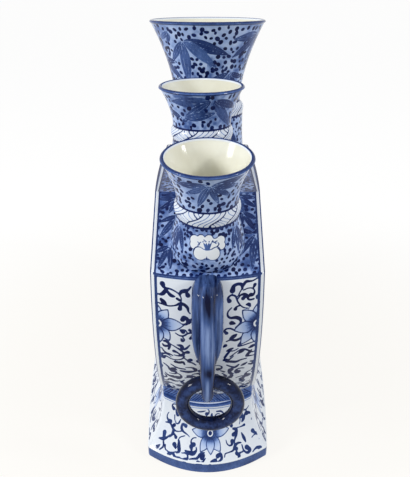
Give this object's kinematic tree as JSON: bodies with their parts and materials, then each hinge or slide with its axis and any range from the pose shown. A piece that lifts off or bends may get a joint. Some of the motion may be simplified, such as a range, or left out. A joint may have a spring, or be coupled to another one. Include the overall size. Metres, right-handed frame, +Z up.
{
  "type": "finger vase",
  "caption": "Flat moon-shaped porcelain vase with a row of trumpet-mouthed fingers, elephant-head end handles that hold loose rings, and a flared hollow foot.",
  "frame": {"origin": "middle of the foot's underside, on the surface the vase stands on", "axes": "+Z up, X along the row of fingers, Y through the thin direction, from one broad face to the other"},
  "size_m": [0.3492, 0.12, 0.364],
  "materials": {
    "ground_glaze": "glossy blue ground glaze",
    "white_glaze": "glossy white glaze",
    "scroll_glaze": "glossy white glaze with blue scrolls",
    "band_glaze": "glossy blue glaze",
    "handle_glaze": "glossy dark blue glaze",
    "ring_glaze": "glossy navy glaze"
  },
  "bodies": {
    "vase": {"foot": "scroll_glaze", "waist_collar": "band_glaze", "body_floor": "white_glaze", "body_front_face": "scroll_glaze", "body_back_face": "scroll_glaze", "roof_top": "ground_glaze", "middle_finger_stem": "ground_glaze", "middle_finger_mouth": "ground_glaze", "end_wall_right": "scroll_glaze", "roof_slope_right": "ground_glaze", "inner_finger_bulb_right": "ground_glaze", "inner_finger_mouth_right": "ground_glaze", "outer_finger_bulb_right": "ground_glaze", "outer_finger_mouth_right": "ground_glaze", "elephant_handle_right": "handle_glaze", "end_wall_left": "scroll_glaze", "roof_slope_left": "ground_glaze", "inner_finger_bulb_left": "ground_glaze", "inner_finger_mouth_left": "ground_glaze", "outer_finger_bulb_left": "ground_glaze", "outer_finger_mouth_left": "ground_glaze", "elephant_handle_left": "handle_glaze"},
    "ring_right": {"handle_ring_right": "ring_glaze"},
    "ring_left": {"handle_ring_left": "ring_glaze"}
  },
  "joints": [
    {"name": "ring_swing_right", "type": "hinge", "parent": "vase", "child": "ring_right", "pos_m": [0.15978, 0, 0.1197], "axis": [0, -1, 0], "range_deg": [-25, 80]},
    {"name": "ring_swing_left", "type": "hinge", "parent": "vase", "child": "ring_left", "pos_m": [-0.15978, 0, 0.1197], "axis": [0, 1, 0], "range_deg": [-25, 80]}
  ]
}
